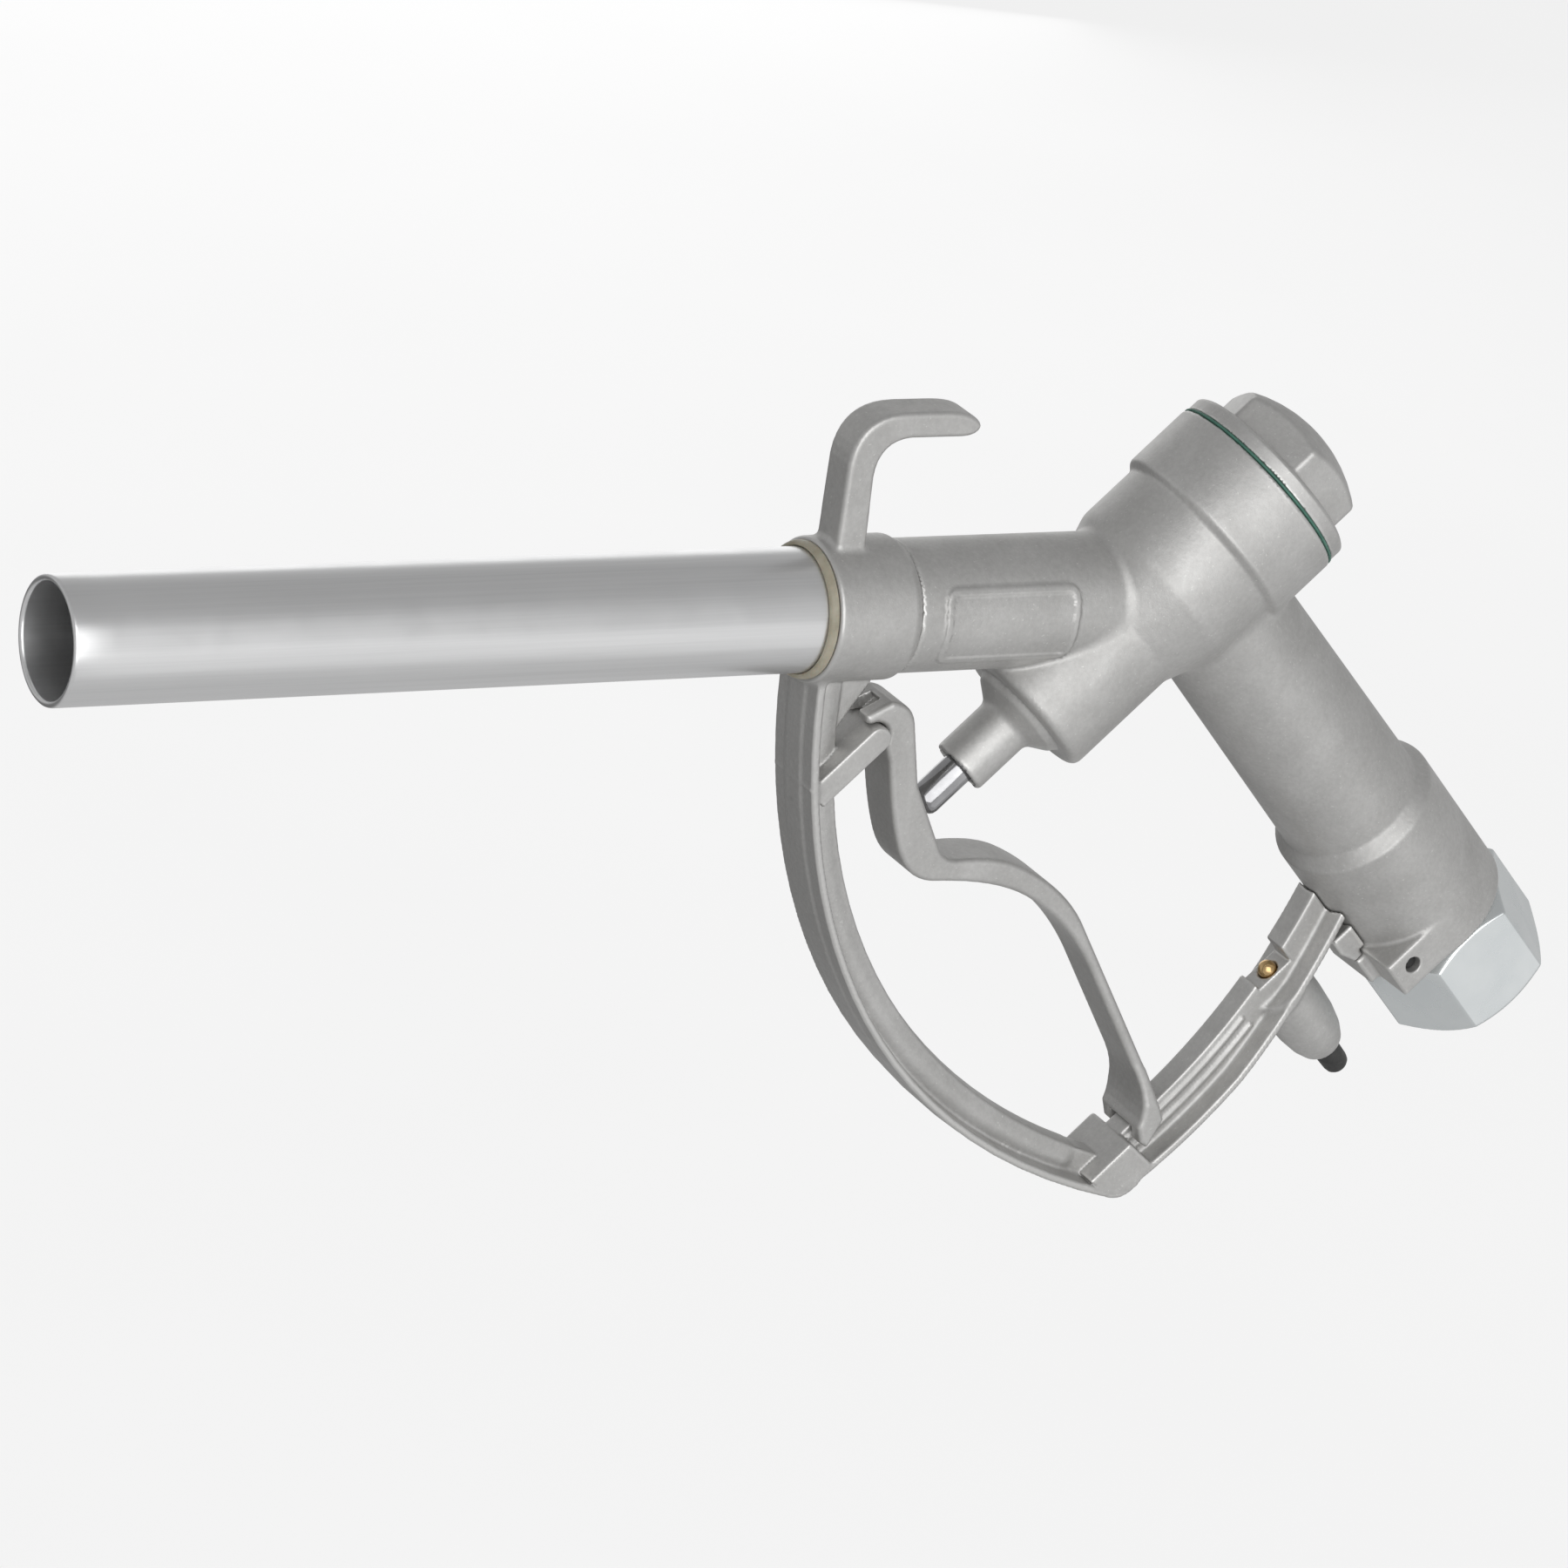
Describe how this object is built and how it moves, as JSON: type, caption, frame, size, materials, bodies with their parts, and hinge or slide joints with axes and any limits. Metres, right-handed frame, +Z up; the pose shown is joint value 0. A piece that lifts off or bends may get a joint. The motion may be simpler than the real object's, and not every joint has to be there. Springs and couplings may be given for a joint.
{
  "type": "fuel nozzle",
  "caption": "Manual fuel delivery nozzle with a straight spout, inclined poppet valve, squeeze lever in a cast guard with hold-open latch, hanging hook and swivel hose connector",
  "frame": {"origin": "centre of the open end face of the hexagonal hose connector", "axes": "+X runs parallel to the spout, from its tip towards the hose; +Z is up, towards the hook; the plane of symmetry is Y = 0"},
  "size_m": [0.4205, 0.0496, 0.2061],
  "materials": {
    "casting": "sand-cast, lightly blasted",
    "spout_aluminium": "drawn tube, satin",
    "sealant": "dull, olive brown",
    "green_rubber": "satin green rubber",
    "steel": "polished",
    "zinc_steel": "bright zinc plate",
    "brass": "turned, slightly aged",
    "black_rubber": "matt"
  },
  "bodies": {
    "body": {"body_casting": "casting", "guard_casting": "casting", "spout_tube": "spout_aluminium", "spout_gasket": "sealant", "valve_cap": "casting", "cap_ring_seal": "green_rubber", "main_spring": "steel", "valve_seat": "brass", "stem_seal_upper": "black_rubber", "stem_seal_lower": "black_rubber", "stem_bush": "brass", "gland_ring": "steel", "latch_spring": "steel", "latch_retaining_ring": "steel", "swivel_pin": "steel", "guard_screw": "steel"},
    "lever": {"lever": "casting"},
    "stem": {"valve_stem": "steel", "poppet_seal": "black_rubber", "poppet_disc": "brass", "poppet_nut": "steel"},
    "latch": {"latch_pin": "brass", "latch_button": "black_rubber"},
    "swivel": {"swivel_connector": "zinc_steel", "swivel_seal": "black_rubber", "inlet_strainer": "steel", "inlet_gasket": "black_rubber"}
  },
  "joints": [
    {"name": "lever_hinge", "type": "hinge", "parent": "body", "child": "lever", "pos_m": [-0.19351, 0, 0.07521], "axis": [0, -1, 0], "range_deg": [0, 22.5], "stiffness_Nm_per_rad": 3, "springref_deg": -28.65},
    {"name": "stem_slide", "type": "slide", "parent": "body", "child": "stem", "axis": [0.7071, 0, 0.7071], "range_m": [0, 0.0115], "deforming": ["main_spring"]},
    {"name": "latch_slide", "type": "slide", "parent": "body", "child": "latch", "axis": [-0.7071, 0, 0.7071], "range_m": [0, 0.006], "stiffness_N_per_m": 250, "springref_m": -0.006, "deforming": ["latch_spring"]},
    {"name": "swivel_spin", "type": "hinge", "parent": "body", "child": "swivel", "pos_m": [0, 0, 0], "axis": [0.7071, 0, -0.7071], "continuous": true}
  ],
  "couplings": [
    {"joint": "stem_slide", "follows": "lever_hinge", "m_per_rad": 0.0288}
  ]
}
